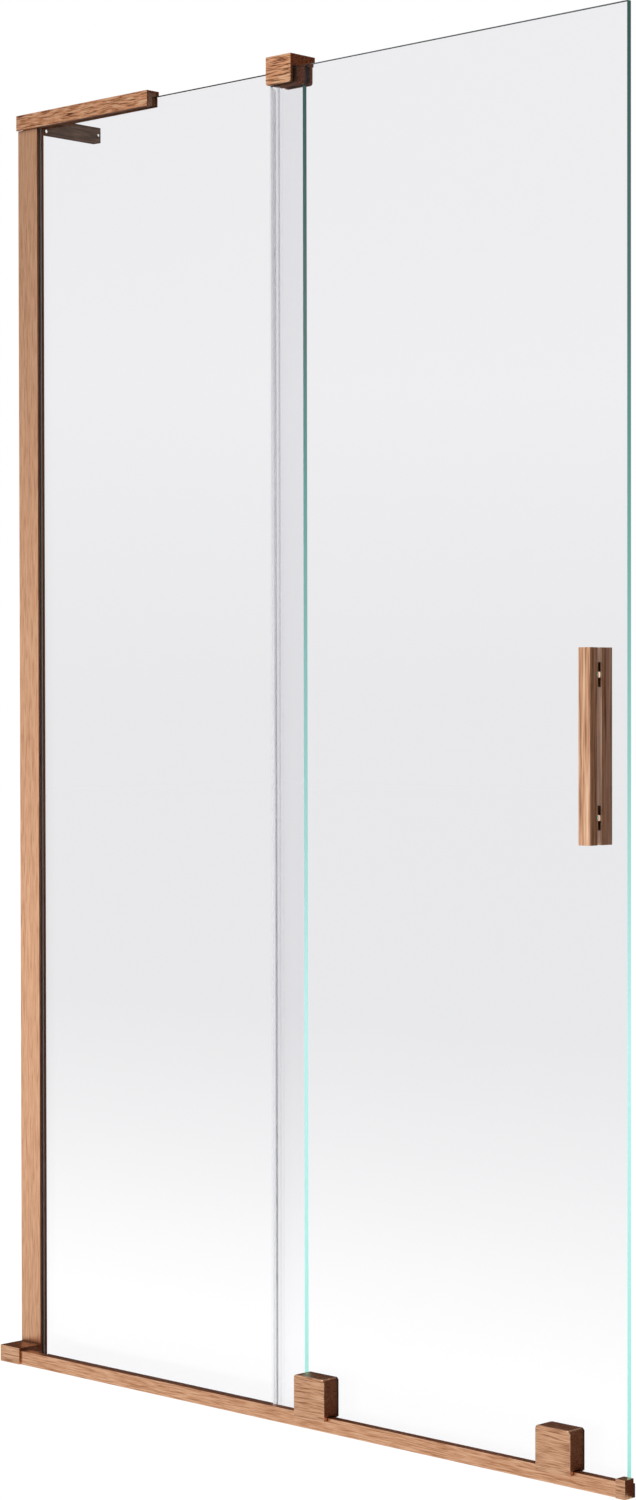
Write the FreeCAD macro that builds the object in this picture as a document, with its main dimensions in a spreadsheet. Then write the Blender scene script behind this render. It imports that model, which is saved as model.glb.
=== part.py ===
import FreeCAD, Part
import os
import re
import Sketcher

doc = FreeCAD.newDocument("bath_screen")
sheet = doc.addObject("Spreadsheet::Sheet", "Sizes")

# Frame of the sheet: X from the wall face, Y from the front of the bottom rail, Z from the bath rim.
sizes = [
    ("glass_thick", 6),
    ("glass_bevel", 0.5),
    ("mount_drop", 5),
    ("screen_height", 1500),
    ("fixed_reach", 475.5),
    ("glass_inset", 12),
    ("profile_front", 31.5),
    ("profile_wall", 2.5),
    ("profile_width", 34.3),
    ("profile_rear", 24),
    ("gasket_thick", 5.5),
    ("gasket_width", 11.5),
    ("gasket_inset", 0.8),
    ("gasket_bevel", 1.5),
    ("wall_hole_radius", 2.75),
    ("wall_hole_margin", 95),
    ("wall_hole_pitch", 430),
    ("foot_gap", 4),
    ("foot_leg", 2),
    ("foot_wall", 1),
    ("foot_clear", 0.3),
    ("top_rail_length", 232),
    ("top_rail_height", 18),
    ("top_rail_wall", 1.6),
    ("top_rail_proud", 3),
    ("liner_rear", 0.4),
    ("liner_top", 5),
    ("liner_inset", 3),
    ("liner_recess", 1.5),
    ("arm_thick", 1.5),
    ("arm_height", 21.2),
    ("arm_length", 119.2),
    ("arm_rise", 0.3),
    ("arm_near_radius", 2.2),
    ("arm_far_radius", 1.8),
    ("arm_hole_near", 30.8),
    ("arm_near_drop", 4.9),
    ("arm_hole_far", 3.1),
    ("arm_far_rise", 1.5),
    ("arm_cut_length", 10.7),
    ("arm_cut_height", 2.6),
    ("rail_depth", 9.8),
    ("rail_height", 16.2),
    ("rail_wall", 1.8),
    ("rail_end", 945.7),
    ("rail_socket", 8),
    ("socket_clear", 0.1),
    ("block_proud", 2.4),
    ("block_height", 19.5),
    ("cap_width", 12),
    ("cap_proud", 2),
    ("cap_height", 19.5),
    ("cap_plug", 14),
    ("plug_clear", 0.1),
    ("lip_thick", 4.4),
    ("lip_height", 14),
    ("guide_reach", 4),
    ("guide_width", 38.4),
    ("guide_height", 31.4),
    ("guide_roof", 11),
    ("guide_wall", 3),
    ("guide_back_wall", 4),
    ("guide_overhang", 1.6),
    ("guide_corner", 3.2),
    ("guide_liner", 1.1),
    ("guide_clear", 0.4),
    ("guide_lift", 1.5),
    ("guide_pad", 1.2),
    ("guide_end_gap", 0.6),
    ("guide_pad_inset", 1.5),
    ("guide_screw_radius", 2.5),
    ("guide_screw_inset", 9),
    ("guide_screw_rise", 11),
    ("guide_socket_radius", 1.3),
    ("guide_socket_depth", 2.2),
    ("thread_clear", 0.05),
    ("pane_overlap", 32),
    ("pane_end_gap", 0.2),
    ("sliding_bottom", 8),
    ("pane_step", 4.1),
    ("seal_web", 1),
    ("seal_wall", 1),
    ("seal_leg", 15),
    ("seal_fin", 1.1),
    ("seal_lean", 10.5),
    ("seal_gap", 0.7),
    ("seal_drop", 2),
    ("seal_start", 0.6),
    ("carriage_left_inset", 79),
    ("carriage_right_inset", 78.3),
    ("carriage_width", 46),
    ("carriage_bottom", 12.5),
    ("carriage_height", 46),
    ("carriage_wall", 5.4),
    ("carriage_corner", 4),
    ("carriage_foot_corner", 1),
    ("carriage_edge", 0.7),
    ("carriage_pad", 2.2),
    ("carriage_pad_inset", 0.4),
    ("carriage_pad_cut", 2.4),
    ("rail_clear", 0.6),
    ("lip_clear", 1),
    ("side_gap", 1.3),
    ("cavity_width", 30),
    ("cavity_clear", 1.6),
    ("roller_radius", 12),
    ("roller_width", 8),
    ("roller_gap", 0.15),
    ("bearing_radius", 6.5),
    ("bearing_width", 5),
    ("axle_radius", 2.5),
    ("axle_clear", 0.05),
    ("axle_depth", 3),
    ("spacer_radius", 4),
    ("spacer_clear", 0.35),
    ("bolt_radius", 3),
    ("bolt_depth", 10),
    ("bolt_margin", 5.2),
    ("bolt_head_radius", 7.2),
    ("bolt_head_thick", 4),
    ("washer_thick", 1),
    ("washer_inset", 0.5),
    ("glass_hole_radius", 5),
    ("sleeve_clear", 0.1),
    ("handle_inset", 45),
    ("handle_rise", 6),
    ("handle_width", 15),
    ("handle_length", 200),
    ("handle_front_depth", 12.7),
    ("handle_rear_depth", 17.8),
    ("handle_bevel", 0.8),
    ("handle_pad_thick", 1),
    ("handle_pad_length", 25),
    ("handle_pad_inset", 0.4),
    ("handle_pad_notch", 2.9),
    ("handle_bolt_spacing", 145),
    ("handle_bolt_radius", 2.5),
    ("handle_bolt_depth", 7),
    ("handle_head_radius", 4.3),
    ("handle_head_thick", 4),
    ("handle_head_clear", 0.3),
    ("handle_hole_radius", 5),
    ("mount_height", "=screen_height / 2 - mount_drop"),
    ("wall_hole_outer", "=2 * (mount_height - wall_hole_margin)"),
    ("wall_hole_inner", "=wall_hole_outer - 2 * wall_hole_pitch"),
    ("glass_front", "=profile_front + profile_wall + gasket_thick"),
    ("glass_back", "=glass_front + glass_thick"),
    ("glass_mid", "=glass_front + glass_thick / 2"),
    ("profile_back", "=glass_back + gasket_thick + profile_wall"),
    ("top_rail_front", "=profile_front - top_rail_proud"),
    ("top_rail_back", "=glass_back + liner_rear + top_rail_wall"),
    ("top_rail_top", "=screen_height + liner_top + top_rail_wall"),
    ("top_rail_bottom", "=top_rail_top - top_rail_height"),
    ("arm_bottom", "=top_rail_bottom + arm_rise"),
    ("arm_mid", "=arm_bottom + arm_height / 2"),
    ("arm_end", "=top_rail_back + arm_length"),
    ("carriage_front", "=-rail_clear - carriage_wall"),
    ("carriage_back", "=rail_depth + rail_clear + carriage_wall"),
    ("carriage_top", "=carriage_bottom + carriage_height"),
    ("sliding_front", "=carriage_back + carriage_pad"),
    ("sliding_back", "=sliding_front + glass_thick"),
    ("sliding_left", "=fixed_reach - pane_overlap"),
    ("sliding_right", "=rail_end - pane_end_gap"),
    ("sliding_top", "=screen_height - pane_step"),
    ("carriage_left_mid", "=sliding_left + carriage_left_inset"),
    ("carriage_right_mid", "=sliding_right - carriage_right_inset"),
    ("handle_mid", "=sliding_right - handle_inset"),
    ("handle_centre", "=mount_height + handle_rise"),
    ("axle_rise", "=rail_height + roller_gap + roller_radius"),
    ("cavity_top", "=axle_rise + roller_radius + cavity_clear"),
    ("bolt_rise", "=cavity_top + bolt_margin"),
    ("rail_mid", "=rail_depth / 2"),
    ("guide_top", "=screen_height + guide_roof"),
    ("guide_bottom", "=guide_top - guide_height"),
    ("guide_right", "=fixed_reach + guide_reach"),
    ("guide_left", "=guide_right - guide_width"),
    ("slot_front", "=sliding_front - guide_clear - guide_liner"),
    ("slot_back", "=sliding_back + guide_clear + guide_liner"),
    ("slot_top", "=sliding_top + guide_lift + guide_liner"),
    ("guide_front", "=slot_front - guide_wall"),
    ("clamp_front", "=glass_front - guide_pad"),
    ("clamp_back", "=glass_back + guide_pad"),
    ("guide_back", "=clamp_back + guide_back_wall"),
    ("seal_top", "=guide_bottom - seal_drop"),
    ("handle_front_back", "=sliding_front - handle_pad_thick"),
    ("handle_rear_front", "=sliding_back + handle_pad_thick"),
    ("handle_rear_back", "=handle_rear_front + handle_rear_depth"),
]
for row, (alias, value) in enumerate(sizes, start=1):
    sheet.set("A%d" % row, alias)
    sheet.set("B%d" % row, str(value))
    sheet.setAlias("B%d" % row, alias)
doc.recompute()

bodies = []


def ex(text):
    return re.sub(r"[a-z][a-z_]*", lambda m: "Sizes." + m.group(0), text)


def number(text):
    return float(sheet.evalExpression(ex(text).replace("Sizes.", "")))


def new_body(label):
    body = doc.addObject("PartDesign::Body", label)
    body.Label = label
    body.AllowCompound = True
    body.setExpression("Placement.Base.y", ex("-glass_mid"))
    body.setExpression("Placement.Base.z", ex("-mount_height"))
    bodies.append(body)
    return body


def sketch_on(body, role, level, across="0", along="0"):
    sketch = body.newObject("Sketcher::SketchObject", body.Name + "_sketch")
    plane = [item for item in body.Origin.OriginFeatures if item.Role == role][0]
    sketch.AttachmentSupport = (plane, [""])
    sketch.MapMode = "FlatFace"
    sketch.setExpression("AttachmentOffset.Base.x", ex(across))
    sketch.setExpression("AttachmentOffset.Base.y", ex(along))
    sketch.setExpression("AttachmentOffset.Base.z", ex(level))
    return sketch


def bind(sketch, kind, item, point, text):
    value = number(text)
    index = sketch.addConstraint(Sketcher.Constraint(kind, -1, 1, item, point, value))
    sketch.setExpression("Constraints[%d]" % index, ex(text))


def polygon(sketch, corners):
    first = sketch.GeometryCount
    count = len(corners)
    points = [FreeCAD.Vector(number(a), number(b), 0) for a, b in corners]
    for i in range(count):
        sketch.addGeometry(Part.LineSegment(points[i], points[(i + 1) % count]), False)
    for i in range(count):
        sketch.addConstraint(Sketcher.Constraint("Coincident", first + i, 2, first + (i + 1) % count, 1))
    for i, (a, b) in enumerate(corners):
        bind(sketch, "DistanceX", first + i, 1, a)
        bind(sketch, "DistanceY", first + i, 1, b)


def rectangle(sketch, x0, y0, x1, y1):
    polygon(sketch, [(x0, y0), (x1, y0), (x1, y1), (x0, y1)])


def circle(sketch, x, y, radius):
    centre = FreeCAD.Vector(number(x), number(y), 0)
    item = sketch.addGeometry(Part.Circle(centre, FreeCAD.Vector(0, 0, 1), number(radius)), False)
    bind(sketch, "DistanceX", item, 3, x)
    bind(sketch, "DistanceY", item, 3, y)
    index = sketch.addConstraint(Sketcher.Constraint("Radius", item, number(radius)))
    sketch.setExpression("Constraints[%d]" % index, ex(radius))


def pad(body, sketch, length, back=False):
    feature = body.newObject("PartDesign::Pad", body.Name + "_pad")
    feature.Profile = sketch
    feature.setExpression("Length", ex(length))
    feature.Reversed = back
    sketch.Visibility = False
    doc.recompute()
    return feature


def pocket(body, sketch, depth, back=False):
    before = body.Shape.Volume
    feature = body.newObject("PartDesign::Pocket", body.Name + "_pocket")
    feature.Profile = sketch
    feature.Type = 0
    feature.setExpression("Length", ex(depth))
    feature.Reversed = back
    sketch.Visibility = False
    doc.recompute()
    if body.Shape.Volume > before - 0.01:
        raise RuntimeError("no cut in " + body.Label)
    return feature


def revolve(body, sketch):
    feature = body.newObject("PartDesign::Revolution", body.Name + "_turn")
    feature.Profile = sketch
    feature.ReferenceAxis = (sketch, ["V_Axis"])
    feature.Angle = 360
    sketch.Visibility = False
    doc.recompute()
    return feature


def repeat(body, features, role, length):
    feature = body.newObject("PartDesign::LinearPattern", body.Name + "_row")
    feature.Originals = features
    axis = [item for item in body.Origin.OriginFeatures if item.Role == role][0]
    feature.Direction = (axis, [""])
    feature.setExpression("Length", ex(length))
    feature.Occurrences = 2
    body.Tip = feature
    doc.recompute()
    return feature


def edges_of(feature, test):
    return ["Edge%d" % (i + 1) for i, edge in enumerate(feature.Shape.Edges) if test(edge)]


def lies_along(edge, axis):
    if edge.Curve.TypeId != "Part::GeomLine":
        return False
    direction = edge.Vertexes[1].Point - edge.Vertexes[0].Point
    return abs(abs(direction.normalize().dot(axis)) - 1) < 1e-6


def soften(body, feature, names, size, kind="Fillet"):
    name = "PartDesign::" + kind
    dressed = body.newObject(name, body.Name + "_edge")
    dressed.Base = (feature, names)
    dressed.setExpression("Radius" if kind == "Fillet" else "Size", ex(size))
    feature.Visibility = False
    doc.recompute()
    return dressed


x_axis = FreeCAD.Vector(1, 0, 0)
y_axis = FreeCAD.Vector(0, 1, 0)
z_axis = FreeCAD.Vector(0, 0, 1)

# Wall profile: an aluminium U with a longer front lip, drilled through its web.
body = new_body("wall_profile")
sketch = sketch_on(body, "XY_Plane", "0")
polygon(sketch, [
    ("0", "profile_front"),
    ("profile_width", "profile_front"),
    ("profile_width", "profile_front + profile_wall"),
    ("profile_wall", "profile_front + profile_wall"),
    ("profile_wall", "profile_back - profile_wall"),
    ("profile_rear", "profile_back - profile_wall"),
    ("profile_rear", "profile_back"),
    ("0", "profile_back"),
])
pad(body, sketch, "top_rail_bottom")
sketch = sketch_on(body, "YZ_Plane", "0")
circle(sketch, "glass_mid", "mount_height - wall_hole_outer / 2", "wall_hole_radius")
circle(sketch, "glass_mid", "mount_height + wall_hole_outer / 2", "wall_hole_radius")
circle(sketch, "glass_mid", "mount_height - wall_hole_inner / 2", "wall_hole_radius")
circle(sketch, "glass_mid", "mount_height + wall_hole_inner / 2", "wall_hole_radius")
pocket(body, sketch, "profile_wall", True)

# Glazing gaskets pressed in on both sides of the fixed pane.
body = new_body("front_gasket")
sketch = sketch_on(body, "XY_Plane", "0")
polygon(sketch, [
    ("profile_width - gasket_inset - gasket_width", "profile_front + profile_wall"),
    ("profile_width - gasket_inset - gasket_bevel", "profile_front + profile_wall"),
    ("profile_width - gasket_inset", "profile_front + profile_wall + gasket_bevel"),
    ("profile_width - gasket_inset", "glass_front"),
    ("profile_width - gasket_inset - gasket_width", "glass_front"),
])
pad(body, sketch, "top_rail_bottom")

body = new_body("rear_gasket")
sketch = sketch_on(body, "XY_Plane", "0")
polygon(sketch, [
    ("profile_rear - gasket_inset - gasket_width", "glass_back"),
    ("profile_rear - gasket_inset", "glass_back"),
    ("profile_rear - gasket_inset", "profile_back - profile_wall - gasket_bevel"),
    ("profile_rear - gasket_inset - gasket_bevel", "profile_back - profile_wall"),
    ("profile_rear - gasket_inset - gasket_width", "profile_back - profile_wall"),
])
pad(body, sketch, "top_rail_bottom")

# Fixed pane, with arrised long edges.
body = new_body("fixed_glass")
sketch = sketch_on(body, "XZ_Plane", "-glass_front")
rectangle(sketch, "glass_inset", "foot_gap", "fixed_reach", "screen_height")
plate = pad(body, sketch, "glass_thick", True)
names = edges_of(plate, lambda e: lies_along(e, z_axis) or lies_along(e, x_axis))
soften(body, plate, names, "glass_bevel", "Chamfer")

# Clear channel that carries the fixed pane on the rim.
body = new_body("fixed_glass_foot_seal")
sketch = sketch_on(body, "YZ_Plane", "profile_width + foot_clear")
polygon(sketch, [
    ("glass_front - foot_wall", "0"),
    ("glass_back + foot_wall", "0"),
    ("glass_back + foot_wall", "foot_gap + foot_leg"),
    ("glass_back", "foot_gap + foot_leg"),
    ("glass_back", "foot_gap"),
    ("glass_front", "foot_gap"),
    ("glass_front", "foot_gap + foot_leg"),
    ("glass_front - foot_wall", "foot_gap + foot_leg"),
])
pad(body, sketch, "fixed_reach - profile_width - foot_clear")

# Top rail: an inverted channel over the top edge of the fixed pane.
body = new_body("top_rail")
sketch = sketch_on(body, "YZ_Plane", "0")
polygon(sketch, [
    ("top_rail_front", "top_rail_bottom"),
    ("top_rail_front + top_rail_wall", "top_rail_bottom"),
    ("top_rail_front + top_rail_wall", "top_rail_top - top_rail_wall"),
    ("top_rail_back - top_rail_wall", "top_rail_top - top_rail_wall"),
    ("top_rail_back - top_rail_wall", "top_rail_bottom"),
    ("top_rail_back", "top_rail_bottom"),
    ("top_rail_back", "top_rail_top"),
    ("top_rail_front", "top_rail_top"),
])
pad(body, sketch, "top_rail_length")

body = new_body("top_rail_liner")
sketch = sketch_on(body, "YZ_Plane", "liner_inset")
polygon(sketch, [
    ("top_rail_front + top_rail_wall", "top_rail_bottom + liner_recess"),
    ("glass_front", "top_rail_bottom + liner_recess"),
    ("glass_front", "screen_height"),
    ("glass_back", "screen_height"),
    ("glass_back", "top_rail_bottom + liner_recess"),
    ("top_rail_back - top_rail_wall", "top_rail_bottom + liner_recess"),
    ("top_rail_back - top_rail_wall", "top_rail_top - top_rail_wall"),
    ("top_rail_front + top_rail_wall", "top_rail_top - top_rail_wall"),
])
pad(body, sketch, "top_rail_length - 2 * liner_inset")

# Flat arm along the wall, drilled for two wall screws.
body = new_body("wall_arm")
sketch = sketch_on(body, "YZ_Plane", "0")
polygon(sketch, [
    ("top_rail_back", "arm_bottom"),
    ("arm_end - arm_cut_length", "arm_bottom"),
    ("arm_end", "arm_bottom + arm_cut_height"),
    ("arm_end", "arm_bottom + arm_height"),
    ("top_rail_back", "arm_bottom + arm_height"),
])
circle(sketch, "top_rail_back + arm_hole_near", "arm_mid - arm_near_drop", "arm_near_radius")
circle(sketch, "arm_end - arm_hole_far", "arm_mid + arm_far_rise", "arm_far_radius")
pad(body, sketch, "arm_thick")

# Bottom rail: a hollow extrusion between the wall block and the end cap.
body = new_body("bottom_rail")
sketch = sketch_on(body, "YZ_Plane", "profile_width - rail_socket")
rectangle(sketch, "0", "0", "rail_depth", "rail_height")
rectangle(sketch, "rail_wall", "rail_wall", "rail_depth - rail_wall", "rail_height - rail_wall")
pad(body, sketch, "rail_end - profile_width + rail_socket")

body = new_body("rail_back_lip")
sketch = sketch_on(body, "XY_Plane", "0")
polygon(sketch, [
    ("profile_width", "rail_depth"),
    ("rail_end", "rail_depth"),
    ("rail_end", "rail_depth + cap_proud"),
    ("rail_end + cap_width", "rail_depth + cap_proud"),
    ("rail_end + cap_width", "rail_depth + lip_thick"),
    ("profile_width", "rail_depth + lip_thick"),
])
pad(body, sketch, "lip_height")

body = new_body("rail_wall_block")
sketch = sketch_on(body, "YZ_Plane", "0")
rectangle(sketch, "-block_proud", "0", "profile_front", "block_height")
pad(body, sketch, "profile_width")
sketch = sketch_on(body, "YZ_Plane", "profile_width")
rectangle(sketch, "-socket_clear", "-1", "rail_depth + socket_clear", "rail_height + socket_clear")
pocket(body, sketch, "rail_socket + socket_clear")

body = new_body("rail_end_cap")
sketch = sketch_on(body, "YZ_Plane", "rail_end")
rectangle(sketch, "-cap_proud", "0", "rail_depth + cap_proud", "cap_height")
pad(body, sketch, "cap_width")
sketch = sketch_on(body, "YZ_Plane", "rail_end")
rectangle(
    sketch,
    "rail_wall + plug_clear", "rail_wall + plug_clear",
    "rail_depth - rail_wall - plug_clear", "rail_height - rail_wall - plug_clear",
)
pad(body, sketch, "cap_plug", True)

# Guide clamp on the fixed pane: a comb with a running slot in front and a clamping slot behind.
body = new_body("guide_housing")
sketch = sketch_on(body, "YZ_Plane", "guide_left")
polygon(sketch, [
    ("guide_front", "guide_bottom"),
    ("slot_front", "guide_bottom"),
    ("slot_front", "slot_top"),
    ("slot_back", "slot_top"),
    ("slot_back", "guide_bottom"),
    ("guide_back", "guide_bottom"),
    ("guide_back", "screen_height"),
    ("guide_back + guide_overhang", "screen_height"),
    ("guide_back + guide_overhang", "guide_top"),
    ("guide_front", "guide_top"),
])
comb = pad(body, sketch, "guide_width")


def is_low_corner(edge):
    return lies_along(edge, y_axis) and abs(edge.Vertexes[0].Point.z - number("guide_bottom")) < 0.01


soften(body, comb, edges_of(comb, is_low_corner), "guide_corner")
sketch = sketch_on(body, "YZ_Plane", "guide_left")
rectangle(sketch, "clamp_front", "guide_bottom - 1", "clamp_back", "screen_height")
pocket(body, sketch, "guide_width", True)
sketch = sketch_on(body, "XZ_Plane", "-clamp_back")
circle(sketch, "guide_left + guide_screw_inset", "guide_bottom + guide_screw_rise", "guide_screw_radius + thread_clear")
circle(sketch, "guide_right - guide_screw_inset", "guide_bottom + guide_screw_rise", "guide_screw_radius + thread_clear")
pocket(body, sketch, "guide_back_wall")

body = new_body("guide_liner")
sketch = sketch_on(body, "YZ_Plane", "guide_left + guide_end_gap")
polygon(sketch, [
    ("slot_front", "guide_bottom + guide_end_gap"),
    ("slot_front + guide_liner", "guide_bottom + guide_end_gap"),
    ("slot_front + guide_liner", "slot_top - guide_liner"),
    ("slot_back - guide_liner", "slot_top - guide_liner"),
    ("slot_back - guide_liner", "guide_bottom + guide_end_gap"),
    ("slot_back", "guide_bottom + guide_end_gap"),
    ("slot_back", "slot_top"),
    ("slot_front", "slot_top"),
])
pad(body, sketch, "guide_width - 2 * guide_end_gap")

body = new_body("guide_pads")
sketch = sketch_on(body, "XY_Plane", "guide_bottom + guide_pad_inset")
rectangle(sketch, "guide_left + guide_pad_inset", "clamp_front", "fixed_reach - guide_pad_inset", "glass_front")
rectangle(sketch, "guide_left + guide_pad_inset", "glass_back", "fixed_reach - guide_pad_inset", "clamp_back")
pad(body, sketch, "screen_height - guide_bottom - 2 * guide_pad_inset")

body = new_body("guide_screws")
sketch = sketch_on(
    body, "XY_Plane", "guide_bottom + guide_screw_rise", "guide_left + guide_screw_inset", "clamp_back",
)
polygon(sketch, [
    ("0", "0"),
    ("guide_screw_radius", "0"),
    ("guide_screw_radius", "guide_back_wall"),
    ("guide_socket_radius", "guide_back_wall"),
    ("guide_socket_radius", "guide_back_wall - guide_socket_depth"),
    ("0", "guide_back_wall - guide_socket_depth"),
])
turn = revolve(body, sketch)
repeat(body, [turn], "X_Axis", "guide_width - 2 * guide_screw_inset")

# Sliding pane with holes for the carriages and the handle.
body = new_body("sliding_glass")
sketch = sketch_on(body, "XZ_Plane", "-sliding_front")
rectangle(sketch, "sliding_left", "sliding_bottom", "sliding_right", "sliding_top")
plate = pad(body, sketch, "glass_thick", True)
names = edges_of(plate, lambda e: lies_along(e, z_axis) or lies_along(e, x_axis))
soften(body, plate, names, "glass_bevel", "Chamfer")
sketch = sketch_on(body, "XZ_Plane", "-sliding_front")
circle(sketch, "carriage_left_mid", "bolt_rise", "glass_hole_radius")
circle(sketch, "carriage_right_mid", "bolt_rise", "glass_hole_radius")
circle(sketch, "handle_mid", "handle_centre - handle_bolt_spacing / 2", "handle_hole_radius")
circle(sketch, "handle_mid", "handle_centre + handle_bolt_spacing / 2", "handle_hole_radius")
pocket(body, sketch, "glass_thick")

# Clear edge seal clipped on the trailing edge, its fin closing the gap to the fixed pane.
body = new_body("edge_seal")
sketch = sketch_on(body, "XY_Plane", "sliding_bottom - seal_start")
polygon(sketch, [
    ("sliding_left - seal_web", "sliding_front - seal_wall"),
    ("sliding_left + seal_leg", "sliding_front - seal_wall"),
    ("sliding_left + seal_leg", "sliding_front"),
    ("sliding_left", "sliding_front"),
    ("sliding_left", "sliding_back"),
    ("sliding_left + seal_leg", "sliding_back"),
    ("sliding_left + seal_leg", "sliding_back + seal_wall"),
    ("sliding_left - seal_web + 2 * seal_fin", "sliding_back + seal_wall"),
    ("sliding_left - seal_lean + seal_fin", "glass_front - seal_gap"),
    ("sliding_left - seal_lean", "glass_front - seal_gap"),
    ("sliding_left - seal_web", "sliding_back + seal_wall"),
])
pad(body, sketch, "seal_top - sliding_bottom + seal_start")


def is_top_corner(edge):
    return lies_along(edge, y_axis) and abs(edge.Vertexes[0].Point.z - number("carriage_top")) < 0.01


def is_foot_corner(edge):
    return lies_along(edge, y_axis) and abs(edge.Vertexes[0].Point.z - number("carriage_bottom")) < 0.01


def is_front_edge(edge):
    return all(abs(end.Point.y - number("carriage_front")) < 0.01 for end in edge.Vertexes)


def carriage(label, middle):
    body = new_body(label)
    sketch = sketch_on(body, "XZ_Plane", "-carriage_front")
    left = middle + " - carriage_width / 2"
    right = middle + " + carriage_width / 2"
    rectangle(sketch, left, "carriage_bottom", right, "carriage_top")
    block = pad(body, sketch, "carriage_back - carriage_front", True)
    block = soften(body, block, edges_of(block, is_top_corner), "carriage_corner")
    block = soften(body, block, edges_of(block, is_foot_corner), "carriage_foot_corner")
    soften(body, block, edges_of(block, is_front_edge), "carriage_edge", "Chamfer")
    sketch = sketch_on(body, "YZ_Plane", left + " - 1")
    polygon(sketch, [
        ("-rail_clear", "carriage_bottom - 1"),
        ("carriage_back + 1", "carriage_bottom - 1"),
        ("carriage_back + 1", "lip_height + lip_clear"),
        ("rail_depth + rail_clear", "lip_height + lip_clear"),
        ("rail_depth + rail_clear", "rail_height + side_gap"),
        ("-rail_clear", "rail_height + side_gap"),
    ])
    pocket(body, sketch, "carriage_width + 2", True)
    sketch = sketch_on(body, "YZ_Plane", middle + " - cavity_width / 2")
    rectangle(sketch, "-rail_clear", "carriage_bottom - 1", "rail_depth + rail_clear", "cavity_top")
    pocket(body, sketch, "cavity_width", True)
    sketch = sketch_on(body, "XZ_Plane", "-carriage_back")
    circle(sketch, middle, "axle_rise", "axle_radius + thread_clear")
    pocket(body, sketch, "carriage_back + rail_clear + axle_depth", True)
    sketch = sketch_on(body, "XZ_Plane", "-carriage_back")
    circle(sketch, middle, "bolt_rise", "bolt_radius + thread_clear")
    pocket(body, sketch, "bolt_depth + 1", True)
    return body


carriage("carriage_left", "carriage_left_mid")
carriage("carriage_right", "carriage_right_mid")

body = new_body("carriage_pads")
sketch = sketch_on(body, "XZ_Plane", "-carriage_back")
rectangle(
    sketch,
    "carriage_left_mid - carriage_width / 2 + carriage_pad_inset", "lip_height + lip_clear + carriage_pad_inset",
    "carriage_left_mid + carriage_width / 2 - carriage_pad_inset", "carriage_top - carriage_pad_inset",
)
circle(sketch, "carriage_left_mid", "bolt_rise", "bolt_radius + sleeve_clear")
sheet_pad = pad(body, sketch, "carriage_pad", True)
pads = repeat(body, [sheet_pad], "X_Axis", "carriage_right_mid - carriage_left_mid")


def is_pad_corner(edge):
    level = number("carriage_top - carriage_pad_inset")
    return lies_along(edge, y_axis) and abs(edge.Vertexes[0].Point.z - level) < 0.01


body.Tip = soften(body, pads, edges_of(pads, is_pad_corner), "carriage_pad_cut", "Chamfer")

body = new_body("carriage_axles")
sketch = sketch_on(body, "XZ_Plane", "rail_clear + axle_depth - 0.2")
circle(sketch, "carriage_left_mid", "axle_rise", "axle_radius")
pin = pad(body, sketch, "carriage_back + rail_clear + axle_depth - 0.4", True)
repeat(body, [pin], "X_Axis", "carriage_right_mid - carriage_left_mid")

# Spacers that keep each bearing in the middle of its axle.
body = new_body("axle_spacers")
sketch = sketch_on(body, "XY_Plane", "axle_rise", "carriage_left_mid")
rectangle(
    sketch,
    "axle_radius + axle_clear", "-rail_clear",
    "spacer_radius", "rail_mid - bearing_width / 2 - spacer_clear",
)
rectangle(
    sketch,
    "axle_radius + axle_clear", "rail_mid + bearing_width / 2 + spacer_clear",
    "spacer_radius", "rail_depth + rail_clear",
)
turn = revolve(body, sketch)
repeat(body, [turn], "X_Axis", "carriage_right_mid - carriage_left_mid")

body = new_body("glass_bolts")
sketch = sketch_on(body, "XY_Plane", "bolt_rise", "carriage_left_mid")
polygon(sketch, [
    ("0", "carriage_back - bolt_depth"),
    ("bolt_radius", "carriage_back - bolt_depth"),
    ("bolt_radius", "sliding_back + washer_thick"),
    ("bolt_head_radius", "sliding_back + washer_thick"),
    ("bolt_head_radius", "sliding_back + washer_thick + bolt_head_thick"),
    ("0", "sliding_back + washer_thick + bolt_head_thick"),
])
turn = revolve(body, sketch)
repeat(body, [turn], "X_Axis", "carriage_right_mid - carriage_left_mid")

body = new_body("bolt_washers")
sketch = sketch_on(body, "XY_Plane", "bolt_rise", "carriage_left_mid")
rectangle(
    sketch,
    "bolt_radius + sleeve_clear", "sliding_back",
    "bolt_head_radius - washer_inset", "sliding_back + washer_thick",
)
turn = revolve(body, sketch)
repeat(body, [turn], "X_Axis", "carriage_right_mid - carriage_left_mid")

body = new_body("bolt_sleeves")
sketch = sketch_on(body, "XY_Plane", "bolt_rise", "carriage_left_mid")
rectangle(
    sketch,
    "bolt_radius + sleeve_clear", "sliding_front",
    "glass_hole_radius - sleeve_clear", "sliding_back",
)
turn = revolve(body, sketch)
repeat(body, [turn], "X_Axis", "carriage_right_mid - carriage_left_mid")


def roller(label, middle):
    body = new_body(label)
    sketch = sketch_on(body, "XY_Plane", "axle_rise", middle)
    rectangle(
        sketch,
        "bearing_radius", "rail_mid - roller_width / 2",
        "roller_radius", "rail_mid + roller_width / 2",
    )
    revolve(body, sketch)


def bearing(label, middle):
    body = new_body(label)
    sketch = sketch_on(body, "XY_Plane", "axle_rise", middle)
    rectangle(
        sketch,
        "axle_radius + axle_clear", "rail_mid - bearing_width / 2",
        "bearing_radius", "rail_mid + bearing_width / 2",
    )
    revolve(body, sketch)


roller("roller_left", "carriage_left_mid")
bearing("bearing_left", "carriage_left_mid")
roller("roller_right", "carriage_right_mid")
bearing("bearing_right", "carriage_right_mid")

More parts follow.
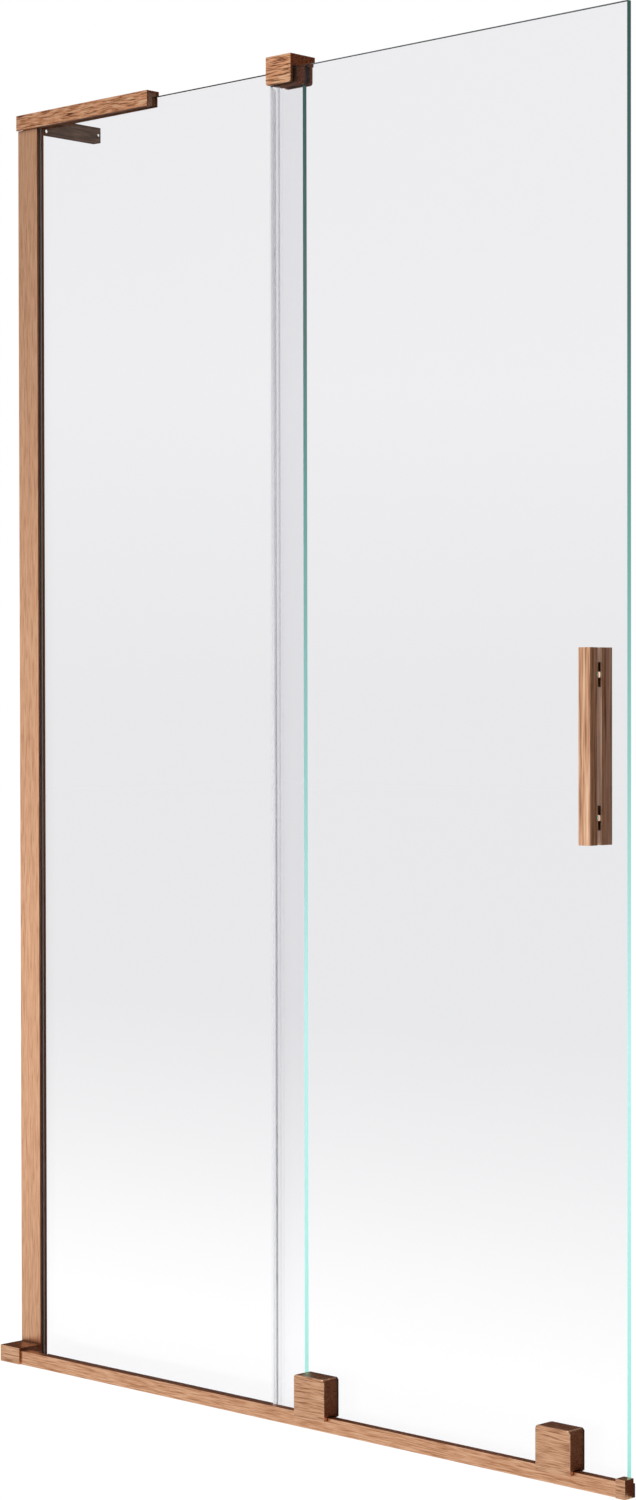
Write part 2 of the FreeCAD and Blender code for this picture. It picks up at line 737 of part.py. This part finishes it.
# Handle: two bars clamped through the pane, the rear one counterbored for the bolt heads.
body = new_body("handle_front")
sketch = sketch_on(body, "XZ_Plane", "-(handle_front_back - handle_front_depth)")
rectangle(
    sketch,
    "handle_mid - handle_width / 2", "handle_centre - handle_length / 2",
    "handle_mid + handle_width / 2", "handle_centre + handle_length / 2",
)
bar = pad(body, sketch, "handle_front_depth", True)
soften(body, bar, edges_of(bar, lambda e: lies_along(e, z_axis)), "handle_bevel")
sketch = sketch_on(body, "XZ_Plane", "-handle_front_back")
circle(sketch, "handle_mid", "handle_centre - handle_bolt_spacing / 2", "handle_bolt_radius + thread_clear")
circle(sketch, "handle_mid", "handle_centre + handle_bolt_spacing / 2", "handle_bolt_radius + thread_clear")
pocket(body, sketch, "handle_bolt_depth + 1", True)

body = new_body("handle_rear")
sketch = sketch_on(body, "XZ_Plane", "-handle_rear_front")
rectangle(
    sketch,
    "handle_mid - handle_width / 2", "handle_centre - handle_length / 2",
    "handle_mid + handle_width / 2", "handle_centre + handle_length / 2",
)
bar = pad(body, sketch, "handle_rear_depth", True)
soften(body, bar, edges_of(bar, lambda e: lies_along(e, z_axis)), "handle_bevel")
sketch = sketch_on(body, "XZ_Plane", "-handle_rear_front")
circle(sketch, "handle_mid", "handle_centre - handle_bolt_spacing / 2", "handle_bolt_radius + sleeve_clear")
circle(sketch, "handle_mid", "handle_centre + handle_bolt_spacing / 2", "handle_bolt_radius + sleeve_clear")
pocket(body, sketch, "handle_rear_depth")
sketch = sketch_on(body, "XZ_Plane", "-handle_rear_back")
circle(
    sketch, "handle_mid", "handle_centre - handle_bolt_spacing / 2",
    "handle_head_radius + handle_head_clear",
)
circle(
    sketch, "handle_mid", "handle_centre + handle_bolt_spacing / 2",
    "handle_head_radius + handle_head_clear",
)
pocket(body, sketch, "handle_head_thick + handle_head_clear", True)

body = new_body("handle_pads")
low_bolt = "handle_centre - handle_bolt_spacing / 2"
for start in ("handle_front_back", "sliding_back"):
    sketch = sketch_on(body, "XZ_Plane", "-" + start)
    left = "handle_mid - handle_width / 2 + handle_pad_inset"
    right = "handle_mid + handle_width / 2 - handle_pad_inset"
    polygon(sketch, [
        (left, low_bolt + " - handle_pad_length / 2"),
        (right, low_bolt + " - handle_pad_length / 2"),
        (right, low_bolt + " - handle_pad_notch"),
        ("handle_mid - handle_pad_notch", low_bolt + " - handle_pad_notch"),
        ("handle_mid - handle_pad_notch", low_bolt + " + handle_pad_notch"),
        (right, low_bolt + " + handle_pad_notch"),
        (right, low_bolt + " + handle_pad_length / 2"),
        (left, low_bolt + " + handle_pad_length / 2"),
    ])
    last = pad(body, sketch, "handle_pad_thick", True)
    if start == "handle_front_back":
        first = last
repeat(body, [first, last], "Z_Axis", "handle_bolt_spacing")

body = new_body("handle_bolts")
sketch = sketch_on(body, "XY_Plane", low_bolt, "handle_mid")
polygon(sketch, [
    ("0", "handle_front_back - handle_bolt_depth"),
    ("handle_bolt_radius", "handle_front_back - handle_bolt_depth"),
    ("handle_bolt_radius", "handle_rear_back - handle_head_thick - handle_head_clear"),
    ("handle_head_radius", "handle_rear_back - handle_head_thick - handle_head_clear"),
    ("handle_head_radius", "handle_rear_back - handle_head_clear"),
    ("0", "handle_rear_back - handle_head_clear"),
])
turn = revolve(body, sketch)
repeat(body, [turn], "Z_Axis", "handle_bolt_spacing")

body = new_body("handle_sleeves")
sketch = sketch_on(body, "XY_Plane", low_bolt, "handle_mid")
rectangle(
    sketch,
    "handle_bolt_radius + sleeve_clear", "sliding_front",
    "handle_hole_radius - sleeve_clear", "sliding_back",
)
turn = revolve(body, sketch)
repeat(body, [turn], "Z_Axis", "handle_bolt_spacing")

doc.recompute()
os.makedirs("parts", exist_ok=True)
for item in doc.Objects:
    if "Invalid" in item.State or "Error" in item.State:
        raise RuntimeError("bad object " + item.Name)
for body in bodies:
    shape = body.Shape
    if shape.isNull() or not shape.isValid():
        raise RuntimeError("bad shape " + body.Label)
    box = shape.BoundBox
    print(body.Label, len(shape.Solids), [round(v, 2) for v in (
        box.XMin, box.XMax, box.YMin, box.YMax, box.ZMin, box.ZMax)], round(shape.Volume, 1))
    shape.exportStep("parts/" + body.Label + ".step")
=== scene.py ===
import math
import bpy
from mathutils import Matrix, Vector


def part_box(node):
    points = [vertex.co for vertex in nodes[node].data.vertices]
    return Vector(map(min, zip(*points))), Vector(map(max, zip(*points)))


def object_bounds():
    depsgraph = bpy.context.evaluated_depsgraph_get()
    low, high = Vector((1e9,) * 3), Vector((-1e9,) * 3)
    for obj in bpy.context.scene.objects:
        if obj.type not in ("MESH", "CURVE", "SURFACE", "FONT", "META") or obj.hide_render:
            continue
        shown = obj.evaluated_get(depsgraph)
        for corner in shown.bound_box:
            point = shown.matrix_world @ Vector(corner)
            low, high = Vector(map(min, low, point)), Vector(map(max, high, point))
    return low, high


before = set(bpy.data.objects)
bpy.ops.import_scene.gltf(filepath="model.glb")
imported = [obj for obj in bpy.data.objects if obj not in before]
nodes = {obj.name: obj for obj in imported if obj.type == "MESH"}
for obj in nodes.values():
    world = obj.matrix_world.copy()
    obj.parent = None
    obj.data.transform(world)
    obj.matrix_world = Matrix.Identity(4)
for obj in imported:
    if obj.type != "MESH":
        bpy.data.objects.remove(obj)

cadLow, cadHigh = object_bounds()
white = (1.0, 1.0, 1.0, 1.0)
print("stage: frame loaded")


def linear(colour):  # a screen colour, 0 to 255, as the linear one that a socket takes
    out = []
    for value in colour:
        c = value / 255.0
        out.append(c / 12.92 if c <= 0.04045 else ((c + 0.055) / 1.055) ** 2.4)
    return tuple(out) + (1.0,)


def painted(stops):  # ramp stops that are given in screen colours
    return [(place, linear(colour)) for place, colour in stops]


class Graph:  # short ways to wire the nodes of one material or world
    def __init__(self, owner, output="ShaderNodeOutputMaterial"):
        owner.use_nodes = True
        self.owner = owner
        self.tree = owner.node_tree
        self.tree.nodes.clear()
        self.output = self.add(output)

    def add(self, kind, sockets=None, **settings):
        node = self.tree.nodes.new(kind)
        for key, value in settings.items():
            setattr(node, key, value)
        for key, value in (sockets or {}).items():
            self.feed(node.inputs[key], value)
        return node

    def feed(self, socket, value):  # a socket is linked, a plain value is set
        if isinstance(value, bpy.types.NodeSocket):
            self.tree.links.new(value, socket)
        else:
            socket.default_value = value

    def coords(self, kind="Object"):
        return self.add("ShaderNodeTexCoord").outputs[kind]

    def axes(self, kind="Object"):
        return self.add("ShaderNodeSeparateXYZ", {"Vector": self.coords(kind)}).outputs

    def math(self, operation, *values):
        return self.add("ShaderNodeMath", dict(enumerate(values)), operation=operation).outputs[0]

    def depthFrom(self, middle):  # distance in Y from an upright plane
        return self.math("ABSOLUTE", self.math("SUBTRACT", self.axes()["Y"], middle))

    def ramp(self, factor, stops):
        node = self.add("ShaderNodeValToRGB", {"Fac": factor})
        items = node.color_ramp.elements
        while len(items) < len(stops):
            items.new(0.5)
        for item, (place, colour) in zip(items, stops):
            item.position = place
            item.color = colour
        return node.outputs["Color"]

    def twoTone(self, factor, low, high):
        return self.ramp(factor, painted([(0.3, low), (0.7, high)]))

    def noise(self, vector, scale, detail=3.0, rough=0.55):
        sockets = {"Vector": vector, "Scale": scale, "Detail": detail, "Roughness": rough}
        return self.add("ShaderNodeTexNoise", sockets).outputs["Fac"]

    def stretch(self, vector, scale):
        return self.add("ShaderNodeMapping", {"Vector": vector, "Scale": scale}).outputs["Vector"]

    def span(self, value, low, high, fromLow=0.0, fromHigh=1.0):
        sockets = {"Value": value, "From Min": fromLow, "From Max": fromHigh, "To Min": low, "To Max": high}
        return self.add("ShaderNodeMapRange", sockets).outputs["Result"]

    def blend(self, factor, first, second):  # mixes colours
        node = self.add("ShaderNodeMix", {"Factor": factor}, data_type="RGBA")
        colours = [item for item in node.inputs if item.type == "RGBA"]
        self.feed(colours[0], first)
        self.feed(colours[1], second)
        return [item for item in node.outputs if item.type == "RGBA"][0]

    def mix(self, factor, first, second):  # mixes numbers
        return self.add("ShaderNodeMix", {"Factor": factor, "A": first, "B": second}).outputs["Result"]

    def mixShader(self, factor, first, second):
        return self.add("ShaderNodeMixShader", {0: factor, 1: first, 2: second}).outputs[0]

    def bump(self, height, strength, depth):
        sockets = {"Height": height, "Strength": strength, "Distance": depth}
        return self.add("ShaderNodeBump", sockets).outputs["Normal"]

    def seen(self, path):  # 1 for rays that bring a view: straight, mirrored or through glass
        direct = self.math("MAXIMUM", path["Is Camera Ray"], path["Is Glossy Ray"])
        return self.math("MAXIMUM", direct, path["Is Transmission Ray"])

    def surface(self, **sockets):
        named = {key.replace("_", " "): value for key, value in sockets.items()}
        return self.close(self.add("ShaderNodeBsdfPrincipled", named).outputs["BSDF"])

    def close(self, shader):
        self.feed(self.output.inputs["Surface"], shader)
        return self.owner


def newGraph(name):
    return Graph(bpy.data.materials.new(name))


def dress(material, *names):
    for name in names:
        slots = nodes[name].data.materials
        slots.clear()
        slots.append(material)


brush = {  # shared by all the copper
    "wanderScale": 28.0,
    "wanderDetail": 1.0,
    "streakRough": 0.62,
    "scratchScale": 3.0,  # scratches are this much finer than the streaks
    "scratchDetail": 2.0,
    "scratchDepth": 0.0003,
    "bathLightenShare": 0.4,  # share of the metal left on faces towards the bath, to lighten them: painted light
    "bathTurn": (0.3, 0.7),
    # the tone of the painted shade where pieces meet
    "cornerShadeTone": (70, 30, 16),
    "cornerReach": 0.008,
    "cornerOpen": (0.45, 0.95),
    "cornerRays": 8,
    "floorClear": (0.001, 0.007),  # no corner shade this near the floor
    "gapEdge": (0.0001, 0.0003),
}
copper = {  # wall block, end cap, carriages and bolts
    "grain": "x",
    "dark": (160, 107, 75),
    "middle": (223, 169, 132),
    "light": (244, 198, 161),
    "stops": (0.34, 0.50, 0.66),
    "along": 34.0,
    "across": 900.0,
    "wander": 0.0012,
    "rough": (0.38, 0.27),
    "bump": 0.10,
    "metal": 1.0,
    "cornerShadeLevel": 0.8,  # how dark the painted shade gets where two pieces meet
    "gapGlow": 0.0,
}
railCopper = dict(
    copper,
    dark=(186, 127, 89),
    middle=(233, 175, 136),
    light=(251, 203, 165),
    cornerShadeLevel=0.0,  # no painted corner shade, so the carriages leave no shade mark on it
)
topCopper = dict(  # top rail and clamp
    copper,
    dark=(92, 50, 31),
    middle=(238, 166, 122),
    light=(255, 214, 174),
    along=46.0,
    across=640.0,
    wander=0.0026,
    bump=0.14,
    cornerShadeLevel=0.35,
)
wallCopper = dict(
    copper,
    grain="z",
    dark=(190, 136, 102),
    middle=(228, 175, 138),
    light=(242, 194, 157),
    stops=(0.30, 0.50, 0.72),
    bump=0.08,
)
handleCopper = dict(
    copper,
    grain="z",
    dark=(132, 88, 62),
    middle=(220, 166, 129),
    light=(255, 214, 180),
    stops=(0.30, 0.50, 0.72),
    along=10.0,
    across=430.0,
    metal=0.8,
    cornerShadeLevel=0.0,
    # painted light on the faces towards the pane: its colour and strength
    gap=(140, 132, 123),
    gapGlow=0.44,
)
# painted shade: a darker, less metal copy of the copper, for the arm in shade behind the glass
shadedArmCopper = dict(
    copper,
    grain="y",
    dark=(70, 52, 41),
    middle=(104, 80, 63),
    light=(136, 106, 85),
    stops=(0.30, 0.50, 0.72),
    along=40.0,
    across=520.0,
    wander=0.0022,
    rough=(0.46, 0.34),
    metal=0.3,
    cornerShadeLevel=0.0,
)


def paintedPaneLight(graph, level):  # painted light: the bars' faces towards the pane glow, standing in for light through the glass
    front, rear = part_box("handle_front")[1].y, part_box("handle_rear")[0].y
    half = (rear - front) / 2.0
    start, end = (half + value for value in brush["gapEdge"])
    return graph.span(graph.depthFrom((front + rear) / 2.0), level, 0.0, start, end)


def paintedCornerShade(graph, level):  # painted shade: darker where two pieces meet, clear of the floor
    reach = {"Distance": brush["cornerReach"]}
    near = graph.add("ShaderNodeAmbientOcclusion", reach, samples=brush["cornerRays"]).outputs["AO"]
    start, end = (cadLow.z + value for value in brush["floorClear"])
    clear = graph.span(graph.axes()["Z"], 0.0, 1.0, start, end)
    return graph.math("MULTIPLY", graph.span(near, level, 0.0, *brush["cornerOpen"]), clear)


def makeCopper(name, finish):
    graph = newGraph(name)
    place = graph.coords()
    drift = {"Vector": place, "Scale": brush["wanderScale"], "Detail": brush["wanderDetail"]}
    wander = graph.add("ShaderNodeTexNoise", drift).outputs["Color"]
    steps = {0: wander, 1: (finish["wander"],) * 3, 2: place}
    shift = graph.add("ShaderNodeVectorMath", steps, operation="MULTIPLY_ADD").outputs["Vector"]
    scale = [finish["across"]] * 3
    scale["xyz".index(finish["grain"])] = finish["along"]
    streaks = graph.noise(graph.stretch(shift, scale), 1.0, rough=brush["streakRough"])
    tones = (finish["dark"], finish["middle"], finish["light"])
    colour = graph.ramp(streaks, painted(zip(finish["stops"], tones)))
    # painted shade in the corners, blended into the colour
    if finish["cornerShadeLevel"]:
        colour = graph.blend(paintedCornerShade(graph, finish["cornerShadeLevel"]), colour, linear(brush["cornerShadeTone"]))
    fineScale = [value * brush["scratchScale"] for value in scale]
    scratches = graph.noise(graph.stretch(place, fineScale), 1.0, brush["scratchDetail"])
    # painted light: a glow on the faces towards the pane
    glow = {}
    if finish["gapGlow"]:
        glow["Emission_Color"] = linear(finish["gap"])
        glow["Emission_Strength"] = paintedPaneLight(graph, finish["gapGlow"])
    metal = finish["metal"]
    bathLightenMetal = metal * brush["bathLightenShare"]  # painted light: less metal on the bath side, so it takes lamp light instead of dark reflections
    return graph.surface(
        Base_Color=colour,
        Metallic=graph.span(graph.axes("Normal")["Y"], metal, bathLightenMetal, *brush["bathTurn"]),
        Roughness=graph.span(streaks, *finish["rough"]),
        Normal=graph.bump(scratches, finish["bump"], brush["scratchDepth"]),
        **glow,
    )


copperX = makeCopper("copperAlongX", copper)
dress(copperX, "rail_wall_block", "rail_end_cap", "carriage_left", "carriage_right", "glass_bolts")
dress(makeCopper("copperRail", railCopper), "bottom_rail")
dress(makeCopper("copperAlongZ", wallCopper), "wall_profile")
dress(makeCopper("copperBar", handleCopper), "handle_front", "handle_rear")
dress(makeCopper("copperTop", topCopper), "top_rail", "guide_housing")
dress(makeCopper("shadedCopperArm", shadedArmCopper), "wall_arm")
print("stage: copper set")

glass = {
    "panes": [  # tints by height, from the foot at 0 to the top at 1
        (0.05, (253, 253, 254)),
        (0.30, (244, 244, 246)),
    ],
    # edge tints by height, darker towards the top; also the colour of the painted edge light
    "edges": [
        (0.02, (170, 242, 231)),
        (0.30, (194, 250, 245)),
        (0.50, (148, 208, 201)),
        (0.70, (98, 156, 148)),
        (0.80, (84, 120, 115)),
        (0.98, (58, 90, 85)),
    ],
    "rim": (136, 136, 140),  # the edge along the top
    "clampShade": (60, 42, 34),  # painted shade: the top edge as far as the clamp, dark brown where the clamp shades it
    "sealed": (244, 244, 247),  # the edge that the clear seal covers, lightened with painted light
    "ior": 1.30,
    # painted light: how strongly the edges glow, outside, inside and under the seal
    "outerEdgeLight": 0.22,
    "innerEdgeLight": 0.46,
    "sealedEdgeLight": (0.66, 0.30),  # below and above
    "sealedHeights": (0.0, 0.55),
    "faceTurn": (0.80, 0.95),
    "rimTurn": (0.5, 0.9),
    "sealEnd": (0.455, 0.460),
    "outerStart": (0.50, 0.60),
    "clampEnd": (0.503, 0.508),
    "clampFoot": (0.7335, 0.7350),
}


def makeGlass():
    graph = newGraph("paneGlass")
    place, normal = graph.axes(), graph.axes("Normal")
    height = graph.span(place["Z"], 0.0, 1.0, cadLow.z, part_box("fixed_glass")[1].z)
    face = graph.span(graph.math("ABSOLUTE", normal["Y"]), 0.0, 1.0, *glass["faceTurn"])
    rim = graph.span(graph.math("ABSOLUTE", normal["Z"]), 0.0, 1.0, *glass["rimTurn"])
    sealed = graph.span(place["X"], 1.0, 0.0, *glass["sealEnd"])
    # painted shade on the top edge where the clamp covers it
    beforeEnd = graph.span(place["X"], 1.0, 0.0, *glass["clampEnd"])
    aboveFoot = graph.span(place["Z"], 0.0, 1.0, *glass["clampFoot"])
    clampShade = graph.math("MULTIPLY", beforeEnd, aboveFoot)
    edge = graph.ramp(height, painted(glass["edges"]))
    edge = graph.blend(sealed, edge, linear(glass["sealed"]))
    edge = graph.blend(rim, edge, linear(glass["rim"]))
    edge = graph.blend(clampShade, edge, linear(glass["clampShade"]))
    # painted light: the edges glow, more inside and under the seal
    sealedEdgeLight = graph.span(place["Z"], *glass["sealedEdgeLight"], *glass["sealedHeights"])
    innerEdgeLight = graph.span(place["X"], sealedEdgeLight, glass["innerEdgeLight"], *glass["sealEnd"])
    paintedEdgeLight = graph.span(place["X"], innerEdgeLight, glass["outerEdgeLight"], *glass["outerStart"])
    noEdgeLight = graph.math("MAXIMUM", graph.math("MAXIMUM", rim, clampShade), face)  # no painted edge light there
    return graph.surface(
        Base_Color=graph.blend(face, edge, graph.ramp(height, painted(glass["panes"]))),
        Roughness=0.0,
        IOR=glass["ior"],
        Transmission_Weight=face,
        Emission_Color=edge,
        Emission_Strength=graph.math("MULTIPLY", graph.span(noEdgeLight, 1.0, 0.0), paintedEdgeLight),
    )


dress(makeGlass(), "fixed_glass", "sliding_glass")

seal = {
    "dark": (172, 172, 181),
    "light": (190, 190, 199),
    "cloud": (60.0, 60.0, 1.5),
    "vary": (0.92, 1.08),
    "rough": (0.2, 0.36),
    "ior": 1.45,
    "bump": 0.05,
    "bumpDepth": 0.0004,
    "legs": 0.03,  # how dense the clear plastic looks on the pane
    "root": (0.10, 0.48),  # and at the fin's root, below and above
    "rootHeights": (-0.10, 0.45),
    "rootStart": (-0.0173, -0.0163),
    "fin": (0.92, 0.48),
    "finHeights": (-0.45, 0.30),
    "finStart": (-0.0110, -0.0090),
    "tip": (0.04, 0.30),  # the end of the front leg
    "tipHeights": (-0.35, 0.55),
    "tipStart": (0.4555, 0.4560),
    "frontEnd": (-0.0243, -0.0233),
}


def makeClear():
    graph = newGraph("clearSeal")
    place = graph.axes()
    cloud = graph.noise(graph.stretch(graph.coords(), seal["cloud"]), 1.0)
    rootLevel = graph.span(place["Z"], *seal["root"], *seal["rootHeights"])
    finLevel = graph.span(place["Z"], *seal["fin"], *seal["finHeights"])
    tipLevel = graph.span(place["Z"], *seal["tip"], *seal["tipHeights"])
    root = graph.span(place["Y"], seal["legs"], rootLevel, *seal["rootStart"])
    fin = graph.span(place["Y"], 0.0, finLevel, *seal["finStart"])
    front = graph.span(place["Y"], 1.0, 0.0, *seal["frontEnd"])
    tip = graph.math("MULTIPLY", graph.span(place["X"], 0.0, tipLevel, *seal["tipStart"]), front)
    dense = graph.math("MAXIMUM", graph.math("MAXIMUM", root, fin), tip)
    return graph.surface(
        Base_Color=graph.twoTone(cloud, seal["dark"], seal["light"]),
        Roughness=graph.span(cloud, *seal["rough"]),
        IOR=seal["ior"],
        Alpha=graph.math("MULTIPLY", dense, graph.span(cloud, *seal["vary"])),
        Normal=graph.bump(cloud, seal["bump"], seal["bumpDepth"]),
    )


dress(makeClear(), "fixed_glass_foot_seal", "edge_seal")
print("stage: glass and clear seals set")

nylon = {
    "cloud": 35.0,
    "grain": 900.0,
    "grainDetail": 2.0,
    "rough": (0.4, 0.6),
    "bump": 0.15,
    "bumpDepth": 0.0002,
    "glow": 0.0,
}
rubber = dict(nylon, grain=1200.0, rough=(0.5, 0.7))
guideLiner = dict(nylon, dark=(66, 46, 35), light=(92, 66, 50))
# painted light: the top rail's liner glows, in place of light that the glass shades
packing = dict(nylon, dark=(74, 50, 36), light=(98, 70, 54), glow=0.40)
# painted light: the sleeves glow, giving light dots in the shaded gap
sleeve = dict(nylon, dark=(236, 232, 226), light=(246, 243, 238), glow=1.4)
roller = dict(nylon, dark=(196, 196, 193), light=(214, 214, 211), rough=(0.35, 0.5))
# painted light: the pads are coloured lighter, to make up for the shade between the bars
handlePad = dict(rubber, dark=(136, 92, 60), light=(162, 110, 74))
blackPad = dict(rubber, dark=(20, 18, 17), light=(34, 31, 30), rough=(0.5, 0.75))
gasket = dict(
    rubber,
    wall=(30, 18, 12),
    middle=(70, 54, 46),
    lip=(142, 124, 114),
    stops=(0.1, 0.5, 0.95),
)


def makePlastic(name, finish):
    graph = newGraph(name)
    place = graph.coords()
    texture = graph.noise(place, finish["grain"], finish["grainDetail"])
    return graph.surface(
        Base_Color=graph.twoTone(graph.noise(place, finish["cloud"]), finish["dark"], finish["light"]),
        Roughness=graph.span(texture, *finish["rough"]),
        Normal=graph.bump(texture, finish["bump"], finish["bumpDepth"]),
        Emission_Color=linear(finish["light"]),
        Emission_Strength=finish["glow"],
    )


def makeGasket():
    graph = newGraph("gasketRubber")
    paneLow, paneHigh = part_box("fixed_glass")
    stripLow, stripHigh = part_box("front_gasket")
    near = (paneHigh.y - paneLow.y) / 2.0
    far = near + stripHigh.y - stripLow.y
    lip = graph.span(graph.depthFrom((paneLow.y + paneHigh.y) / 2.0), 1.0, 0.0, near, far)
    tones = (gasket["wall"], gasket["middle"], gasket["lip"])  # greyer towards the pane
    texture = graph.noise(graph.coords(), gasket["grain"], gasket["grainDetail"])
    return graph.surface(
        Base_Color=graph.ramp(lip, painted(zip(gasket["stops"], tones))),
        Roughness=graph.span(texture, *gasket["rough"]),
        Normal=graph.bump(texture, gasket["bump"], gasket["bumpDepth"]),
    )


dress(makePlastic("bronzeNylon", guideLiner), "guide_liner")
dress(makePlastic("railPacking", packing), "top_rail_liner")
dress(makePlastic("paleNylon", sleeve), "bolt_sleeves", "handle_sleeves")
dress(makePlastic("rollerNylon", roller), "roller_left", "roller_right")
dress(makePlastic("padRubber", handlePad), "handle_pads")
blackRubber = makePlastic("blackRubber", blackPad)
dress(blackRubber, "guide_pads", "rail_back_lip", "carriage_pads", "bolt_washers")
dress(makeGasket(), "front_gasket", "rear_gasket")

steel = {
    "dark": (158, 158, 160),
    "light": (205, 205, 206),
    "lines": (900.0, 60.0, 900.0),
    "rough": (0.22, 0.4),
    "bump": 0.08,
    "bumpDepth": 0.0002,
}


def makeSteel():
    graph = newGraph("brushedSteel")
    lines = graph.noise(graph.stretch(graph.coords(), steel["lines"]), 1.0)
    return graph.surface(
        Base_Color=graph.twoTone(lines, steel["dark"], steel["light"]),
        Metallic=1.0,
        Roughness=graph.span(lines, *steel["rough"]),
        Normal=graph.bump(lines, steel["bump"], steel["bumpDepth"]),
    )


brushedSteel = makeSteel()
dress(brushedSteel, "guide_screws", "carriage_axles", "axle_spacers", "handle_bolts")
dress(brushedSteel, "bearing_left", "bearing_right")
print("stage: plastics, rubber and steel set")


def makePlane(name, size, place, turn):
    bpy.ops.object.select_all(action="DESELECT")
    bpy.ops.mesh.primitive_plane_add(size=1.0)
    plane = bpy.context.active_object
    plane.name = name
    matrix = Matrix.Translation(place) @ turn @ Matrix.Diagonal((size[0], size[1], 1.0, 1.0))
    plane.data.transform(matrix)
    return plane


flat = Matrix.Identity(4)
upright = Matrix.Rotation(math.radians(90.0), 4, "X")

ground = {
    "size": (40.0, 40.0),
    "place": (0.5, 0.0, cadLow.z - 0.0005),
    "matte": (246, 246, 246),
    "glow": 1.06,
    "share": 0.94,  # the rest takes the object's shadow
    "tones": [  # how light metal and glass see it, by distance in Y
        (-1.5, 0.972),
        (-0.1, 0.719),
        (-0.02, 0.719),
        (0.0, 0.972),
        (0.3, 1.0),
        (0.7, 0.962),
        (1.1, 0.920),
        (1.6, 0.886),
        (2.3, 0.863),
        (3.2, 0.850),
    ],
}


def makeFloor():
    graph = newGraph("paleFloor")
    path = graph.add("ShaderNodeLightPath").outputs
    first, last = ground["tones"][0][0], ground["tones"][-1][0]
    depth = graph.span(graph.axes()["Y"], 0.0, 1.0, first, last)
    stops = []
    for distance, level in ground["tones"]:
        stops.append(((distance - first) / (last - first), (level, level, level, 1.0)))
    colour = graph.blend(path["Is Camera Ray"], graph.ramp(depth, stops), white)
    matte = graph.add("ShaderNodeBsdfDiffuse", {"Color": linear(ground["matte"])}).outputs[0]
    glow = graph.add("ShaderNodeEmission", {"Color": colour, "Strength": ground["glow"]}).outputs[0]
    share = graph.math("MULTIPLY", graph.seen(path), ground["share"])
    return graph.close(graph.mixShader(share, matte, glow))


floor = makePlane("floor", ground["size"], ground["place"], flat)
floor.data.materials.append(makeFloor())

# painted reflection: a dark tone that the metal's side faces mirror
darkReflectionTone = (0.080, 0.034, 0.021, 1.0)
cards = {  # size, middle and turn
    "rightReflectionCard": ((7.4, 5.0), (4.9, 2.4, 1.6), upright),
    "leftReflectionCard": ((6.8, 5.0), (-4.0, 2.4, 1.6), upright),
    "floorReflectionCard": ((16.0, 2.42), (0.6, 1.18, cadLow.z - 0.0003), flat),
}


def makeReflectionCard():
    graph = newGraph("darkReflectionCard")
    path = graph.add("ShaderNodeLightPath").outputs
    clear = graph.add("ShaderNodeBsdfTransparent").outputs[0]
    glow = graph.add("ShaderNodeEmission", {"Color": darkReflectionTone}).outputs[0]
    return graph.close(graph.mixShader(path["Glossy Depth"], clear, glow))


darkReflectionCard = makeReflectionCard()
for name, (size, place, turn) in cards.items():  # seen only as reflections in the metal: painted dark reflections
    card = makePlane(name, size, place, turn)
    card.data.materials.append(darkReflectionCard)
    card.visible_camera = False
    card.visible_diffuse = False
    card.visible_shadow = False

sky = {
    "ambient": 0.75,
    "highGloss": 0.35,  # reflections of what is overhead
    "glossTop": 0.16,
    "horizon": 0.89,  # what shows through the glass, at eye level and above it
    "behind": 0.965,
    "behindTop": 0.10,
}


def makeWorld():
    graph = Graph(bpy.data.worlds.new("studioWorld"), "ShaderNodeOutputWorld")
    path = graph.add("ShaderNodeLightPath").outputs
    height = graph.axes("Generated")["Z"]
    overhead = graph.span(height, 1.0, sky["highGloss"], 0.0, sky["glossTop"])
    behind = graph.span(height, sky["horizon"], sky["behind"], 0.0, sky["behindTop"])
    straight = graph.mix(path["Is Transmission Ray"], 1.0, behind)
    view = graph.mix(path["Glossy Depth"], straight, overhead)
    level = graph.span(graph.seen(path), sky["ambient"], view)
    back = graph.add("ShaderNodeBackground", {"Color": white, "Strength": level}).outputs["Background"]
    return graph.close(back)


bpy.context.scene.world = makeWorld()

keyLight = {
    "place": (-1.2, -3.2, 3.2),
    "aim": (0.5, 0.0, 0.0),
    "size": 2.5,
    "power": 60.0,
}


def makeLamp(name, lamp):
    data = bpy.data.lights.new(name, "AREA")
    data.shape = "SQUARE"
    data.size = lamp["size"]
    data.energy = lamp["power"]
    item = bpy.data.objects.new(name, data)
    bpy.context.scene.collection.objects.link(item)
    aim = Vector(lamp["aim"]) - Vector(lamp["place"])
    item.matrix_world = Matrix.Translation(lamp["place"]) @ aim.to_track_quat("-Z", "Y").to_matrix().to_4x4()


makeLamp("keyLamp", keyLight)
print("stage: studio set")

camera = {
    "place": (2.86988, -2.47146, 0.04905),
    "yaw": 43.8956,
    "pitch": -0.8478,
    "roll": -0.0968,
    "lens": 74.303,
    "sensor": 36.0,
    "farEnd": 100.0,
}


def makeCamera():
    data = bpy.data.cameras.new("photoCamera")
    data.sensor_fit = "AUTO"
    data.sensor_width = camera["sensor"]
    data.lens = camera["lens"]
    data.clip_end = camera["farEnd"]
    item = bpy.data.objects.new("photoCamera", data)
    bpy.context.scene.collection.objects.link(item)
    yaw, pitch, roll = (math.radians(camera[key]) for key in ("yaw", "pitch", "roll"))
    ahead = Vector((-math.sin(yaw) * math.cos(pitch), math.cos(yaw) * math.cos(pitch), math.sin(pitch)))
    right = Vector((math.cos(yaw), math.sin(yaw), 0.0))
    up = right.cross(ahead)
    across = math.cos(roll) * right + math.sin(roll) * up
    above = -math.sin(roll) * right + math.cos(roll) * up
    turn = Matrix((across, above, -ahead)).transposed().to_4x4()
    item.matrix_world = Matrix.Translation(camera["place"]) @ turn
    bpy.context.scene.camera = item


makeCamera()
bpy.context.scene.view_settings.view_transform = "Standard"
print("stage: camera set")
